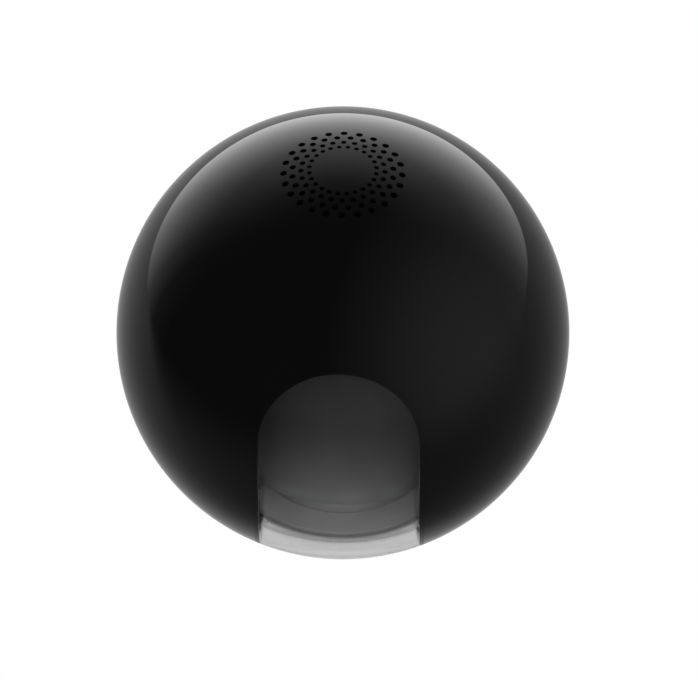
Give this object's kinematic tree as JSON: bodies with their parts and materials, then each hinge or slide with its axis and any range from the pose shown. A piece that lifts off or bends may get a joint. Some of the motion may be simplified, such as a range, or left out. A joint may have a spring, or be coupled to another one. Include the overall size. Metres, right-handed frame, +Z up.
{
  "type": "indoor security camera",
  "caption": "Ball-shaped indoor camera: a glossy ball pans on a small base and a lens head tilts behind an arched smoked window, parked out of sight.",
  "frame": {"origin": "centre of the rubber foot's underside, on the floor, under the ball's centre", "axes": "+Z up along the pan axis, -Y towards the window side at rest, X along the tilt axis"},
  "size_m": [0.1, 0.1, 0.097],
  "materials": {
    "gloss_shell": "high-gloss black moulding",
    "smoked_window": "clear smoked, polished",
    "seal": "soft satin black",
    "base_plastic": "fine satin texture",
    "foot_rubber": "matte",
    "brass": "turned",
    "screw_steel": "zinc-plated",
    "axle_steel": "ground",
    "socket_metal": "plated sheet",
    "black_insulator": "moulded",
    "board": "solder-masked board",
    "ir_board": "black solder-masked board",
    "gear_white": "acetal",
    "cover_plastic": "satin",
    "deck_plastic": "satin",
    "visor_plastic": "smooth satin",
    "frame_plastic": "satin",
    "motor_can": "drawn can",
    "head_plastic": "smooth satin",
    "face_gloss": "glossy black",
    "lens_black": "black anodised",
    "lens_glass": "coated glass",
    "sensor": "dark sensor cover",
    "led_clear": "clear epoxy",
    "magnet": "plated",
    "speaker_paper": "pressed film",
    "screen": "fine woven screen",
    "button": "satin",
    "mic": "capsule"
  },
  "bodies": {
    "base": {"base_housing": "base_plastic", "base_plate": "base_plastic", "foot_ring": "foot_rubber", "tripod_insert": "brass", "base_screws": "screw_steel", "socket_board": "board", "power_socket": "socket_metal", "socket_tongue": "black_insulator", "pan_gear": "gear_white", "hub_retainer": "frame_plastic"},
    "turret": {"front_shell": "gloss_shell", "rear_shell": "gloss_shell", "front_window": "smoked_window", "window_gasket": "seal", "pan_bushing": "gear_white", "turntable": "cover_plastic", "shell_screws": "screw_steel", "deck_cover": "deck_plastic", "pan_motor": "motor_can", "motor_screws": "screw_steel", "left_arm": "frame_plastic", "right_arm": "frame_plastic", "arm_screws": "screw_steel", "axle_bearings": "gear_white", "tilt_motor": "motor_can", "speaker_frame": "frame_plastic", "speaker_magnet": "magnet", "speaker_cone": "speaker_paper", "speaker_clamp": "frame_plastic", "grille_screen": "screen", "speaker_foam": "seal", "main_board": "board", "board_screws": "screw_steel", "shield_can": "socket_metal", "wifi_antenna": "board", "io_board": "board", "card_socket": "socket_metal", "reset_switch": "black_insulator", "microphone": "mic"},
    "head": {"tilt_gear": "gear_white", "head_housing": "head_plastic", "head_rear_cover": "head_plastic", "axle_pins": "axle_steel", "face_plate": "face_gloss", "lens_barrel": "lens_black", "front_lens": "lens_glass", "lens_baffle": "lens_black", "rear_lens": "lens_glass", "lens_mount": "black_insulator", "sensor_board": "board", "image_sensor": "sensor", "sensor_screws": "screw_steel", "ir_board": "ir_board", "ir_leds": "led_clear", "head_visor": "visor_plastic"},
    "pan_drive": {"pan_pinion": "gear_white", "pan_motor_shaft": "axle_steel"},
    "tilt_drive": {"tilt_pinion": "gear_white", "tilt_motor_shaft": "axle_steel"},
    "reset": {"reset_button": "button"}
  },
  "joints": [
    {"name": "pan", "type": "hinge", "parent": "base", "child": "turret", "pos_m": [0, 0, 0.01], "axis": [0, 0, 1], "range_deg": [-170, 170]},
    {"name": "tilt", "type": "hinge", "parent": "turret", "child": "head", "pos_m": [0, 0, 0.047], "axis": [-1, 0, 0], "range_deg": [0, 110]},
    {"name": "pan_drive_spin", "type": "hinge", "parent": "turret", "child": "pan_drive", "pos_m": [0, 0.02158, 0.011], "axis": [0, 0, 1], "range_deg": [-875, 875]},
    {"name": "tilt_drive_spin", "type": "hinge", "parent": "turret", "child": "tilt_drive", "pos_m": [0.0242, 0.01508, 0.047], "axis": [-1, 0, 0], "range_deg": [-441, 1]},
    {"name": "reset_press", "type": "slide", "parent": "turret", "child": "reset", "axis": [0, -1, 0], "range_m": [0, 0.0005], "stiffness_N_per_m": 400, "springref_m": -0.0005}
  ],
  "couplings": [
    {"joint": "pan_drive_spin", "follows": "pan", "ratio": 5.1429},
    {"joint": "tilt_drive_spin", "follows": "tilt", "ratio": -4}
  ]
}
